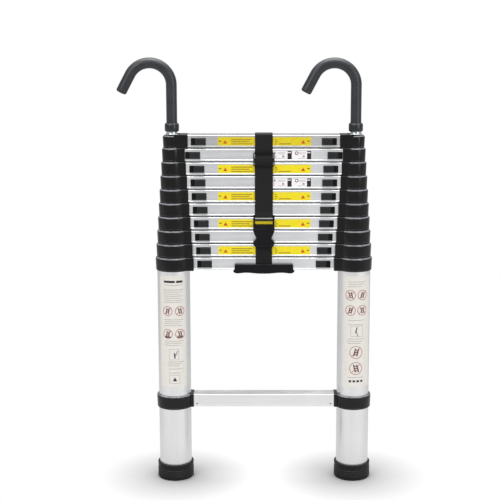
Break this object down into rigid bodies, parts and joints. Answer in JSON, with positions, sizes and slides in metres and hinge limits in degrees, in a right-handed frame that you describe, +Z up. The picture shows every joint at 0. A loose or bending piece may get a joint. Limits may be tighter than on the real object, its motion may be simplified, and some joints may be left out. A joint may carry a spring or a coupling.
{
  "type": "telescoping ladder",
  "caption": "Telescoping ladder stored closed, with nested tubes, stacked rungs, thumb latches, swivelling top hooks and a carrying strap.",
  "frame": {"origin": "centre of the left foot's sole", "axes": "+X along the rungs towards the right foot, -Y to the front where the latch buttons are, +Z up along the stiles"},
  "size_m": [0.537, 0.078, 0.9048],
  "materials": {
    "rubber_foot": "matt black moulded rubber",
    "bare_aluminium": "bright drawn tube",
    "satin_aluminium": "satin anodised extrusion",
    "black_nylon": "moulded black nylon with a soft gloss",
    "stile": "aluminium tube with its moulded black collar",
    "button": "moulded black plastic",
    "coated_tube": "charcoal powder coat, satin",
    "webbing": "woven black webbing",
    "acetal": "moulded black acetal, satin",
    "bright_metal": "chrome plating and bright steel",
    "label": "printed vinyl label"
  },
  "bodies": {
    "base_section": {"foot_left": "rubber_foot", "foot_right": "rubber_foot", "base_tube_left": "bare_aluminium", "base_tube_right": "bare_aluminium", "clamp_collar_left": "black_nylon", "clamp_collar_right": "black_nylon", "rung_01": "satin_aluminium", "base_collar_left": "black_nylon", "base_collar_right": "black_nylon", "rung_02": "satin_aluminium", "strap_handle": "acetal"},
    "section_02": {"stile_02_left": "stile", "stile_02_right": "stile", "rung_03": "satin_aluminium"},
    "section_03": {"stile_03_left": "stile", "stile_03_right": "stile", "rung_04": "satin_aluminium"},
    "section_04": {"stile_04_left": "stile", "stile_04_right": "stile", "rung_05": "satin_aluminium"},
    "section_05": {"stile_05_left": "stile", "stile_05_right": "stile", "rung_06": "satin_aluminium"},
    "section_06": {"stile_06_left": "stile", "stile_06_right": "stile", "rung_07": "satin_aluminium"},
    "section_07": {"stile_07_left": "stile", "stile_07_right": "stile", "rung_08": "satin_aluminium"},
    "section_08": {"stile_08_left": "stile", "stile_08_right": "stile", "rung_09": "satin_aluminium"},
    "section_09": {"stile_09_left": "stile", "stile_09_right": "stile", "rung_10": "satin_aluminium"},
    "section_10": {"stile_10_left": "stile", "stile_10_right": "stile", "rung_11": "satin_aluminium", "strap": "webbing", "buckle_male": "acetal"},
    "latch_02_left": {"latch_02_left": "button"},
    "latch_02_right": {"latch_02_right": "button"},
    "latch_03_left": {"latch_03_left": "button"},
    "latch_03_right": {"latch_03_right": "button"},
    "latch_04_left": {"latch_04_left": "button"},
    "latch_04_right": {"latch_04_right": "button"},
    "latch_05_left": {"latch_05_left": "button"},
    "latch_05_right": {"latch_05_right": "button"},
    "latch_06_left": {"latch_06_left": "button"},
    "latch_06_right": {"latch_06_right": "button"},
    "latch_07_left": {"latch_07_left": "button"},
    "latch_07_right": {"latch_07_right": "button"},
    "latch_08_left": {"latch_08_left": "button"},
    "latch_08_right": {"latch_08_right": "button"},
    "latch_09_left": {"latch_09_left": "button"},
    "latch_09_right": {"latch_09_right": "button"},
    "latch_10_left": {"latch_10_left": "button"},
    "latch_10_right": {"latch_10_right": "button"},
    "hook_left": {"hook_left": "coated_tube"},
    "hook_right": {"hook_right": "coated_tube"}
  },
  "joints": [
    {"name": "slide_02", "type": "slide", "parent": "base_section", "child": "section_02", "axis": [0, 0, 1], "range_m": [0, 0.2712]},
    {"name": "slide_03", "type": "slide", "parent": "section_02", "child": "section_03", "axis": [0, 0, 1], "range_m": [0, 0.2712]},
    {"name": "slide_04", "type": "slide", "parent": "section_03", "child": "section_04", "axis": [0, 0, 1], "range_m": [0, 0.2712]},
    {"name": "slide_05", "type": "slide", "parent": "section_04", "child": "section_05", "axis": [0, 0, 1], "range_m": [0, 0.2712]},
    {"name": "slide_06", "type": "slide", "parent": "section_05", "child": "section_06", "axis": [0, 0, 1], "range_m": [0, 0.2712]},
    {"name": "slide_07", "type": "slide", "parent": "section_06", "child": "section_07", "axis": [0, 0, 1], "range_m": [0, 0.2712]},
    {"name": "slide_08", "type": "slide", "parent": "section_07", "child": "section_08", "axis": [0, 0, 1], "range_m": [0, 0.2712]},
    {"name": "slide_09", "type": "slide", "parent": "section_08", "child": "section_09", "axis": [0, 0, 1], "range_m": [0, 0.2712]},
    {"name": "slide_10", "type": "slide", "parent": "section_09", "child": "section_10", "axis": [0, 0, 1], "range_m": [0, 0.2712]},
    {"name": "latch_02_left_slide", "type": "slide", "parent": "base_section", "child": "latch_02_left", "axis": [-1, 0, 0], "range_m": [0, 0.0065]},
    {"name": "latch_02_right_slide", "type": "slide", "parent": "base_section", "child": "latch_02_right", "axis": [1, 0, 0], "range_m": [0, 0.0065]},
    {"name": "latch_03_left_slide", "type": "slide", "parent": "section_02", "child": "latch_03_left", "axis": [-1, 0, 0], "range_m": [0, 0.0065]},
    {"name": "latch_03_right_slide", "type": "slide", "parent": "section_02", "child": "latch_03_right", "axis": [1, 0, 0], "range_m": [0, 0.0065]},
    {"name": "latch_04_left_slide", "type": "slide", "parent": "section_03", "child": "latch_04_left", "axis": [-1, 0, 0], "range_m": [0, 0.0065]},
    {"name": "latch_04_right_slide", "type": "slide", "parent": "section_03", "child": "latch_04_right", "axis": [1, 0, 0], "range_m": [0, 0.0065]},
    {"name": "latch_05_left_slide", "type": "slide", "parent": "section_04", "child": "latch_05_left", "axis": [-1, 0, 0], "range_m": [0, 0.0065]},
    {"name": "latch_05_right_slide", "type": "slide", "parent": "section_04", "child": "latch_05_right", "axis": [1, 0, 0], "range_m": [0, 0.0065]},
    {"name": "latch_06_left_slide", "type": "slide", "parent": "section_05", "child": "latch_06_left", "axis": [-1, 0, 0], "range_m": [0, 0.0065]},
    {"name": "latch_06_right_slide", "type": "slide", "parent": "section_05", "child": "latch_06_right", "axis": [1, 0, 0], "range_m": [0, 0.0065]},
    {"name": "latch_07_left_slide", "type": "slide", "parent": "section_06", "child": "latch_07_left", "axis": [-1, 0, 0], "range_m": [0, 0.0065]},
    {"name": "latch_07_right_slide", "type": "slide", "parent": "section_06", "child": "latch_07_right", "axis": [1, 0, 0], "range_m": [0, 0.0065]},
    {"name": "latch_08_left_slide", "type": "slide", "parent": "section_07", "child": "latch_08_left", "axis": [-1, 0, 0], "range_m": [0, 0.0065]},
    {"name": "latch_08_right_slide", "type": "slide", "parent": "section_07", "child": "latch_08_right", "axis": [1, 0, 0], "range_m": [0, 0.0065]},
    {"name": "latch_09_left_slide", "type": "slide", "parent": "section_08", "child": "latch_09_left", "axis": [-1, 0, 0], "range_m": [0, 0.0065]},
    {"name": "latch_09_right_slide", "type": "slide", "parent": "section_08", "child": "latch_09_right", "axis": [1, 0, 0], "range_m": [0, 0.0065]},
    {"name": "latch_10_left_slide", "type": "slide", "parent": "section_09", "child": "latch_10_left", "axis": [1, 0, 0], "range_m": [0, 0.0065], "stiffness_N_per_m": 400},
    {"name": "latch_10_right_slide", "type": "slide", "parent": "section_09", "child": "latch_10_right", "axis": [-1, 0, 0], "range_m": [0, 0.0065], "stiffness_N_per_m": 400},
    {"name": "hook_left_swivel", "type": "hinge", "parent": "section_10", "child": "hook_left", "pos_m": [0, 0, 0.74705], "axis": [0, 0, 1], "continuous": true},
    {"name": "hook_right_swivel", "type": "hinge", "parent": "section_10", "child": "hook_right", "pos_m": [0.383, 0, 0.74705], "axis": [0, 0, 1], "continuous": true}
  ]
}
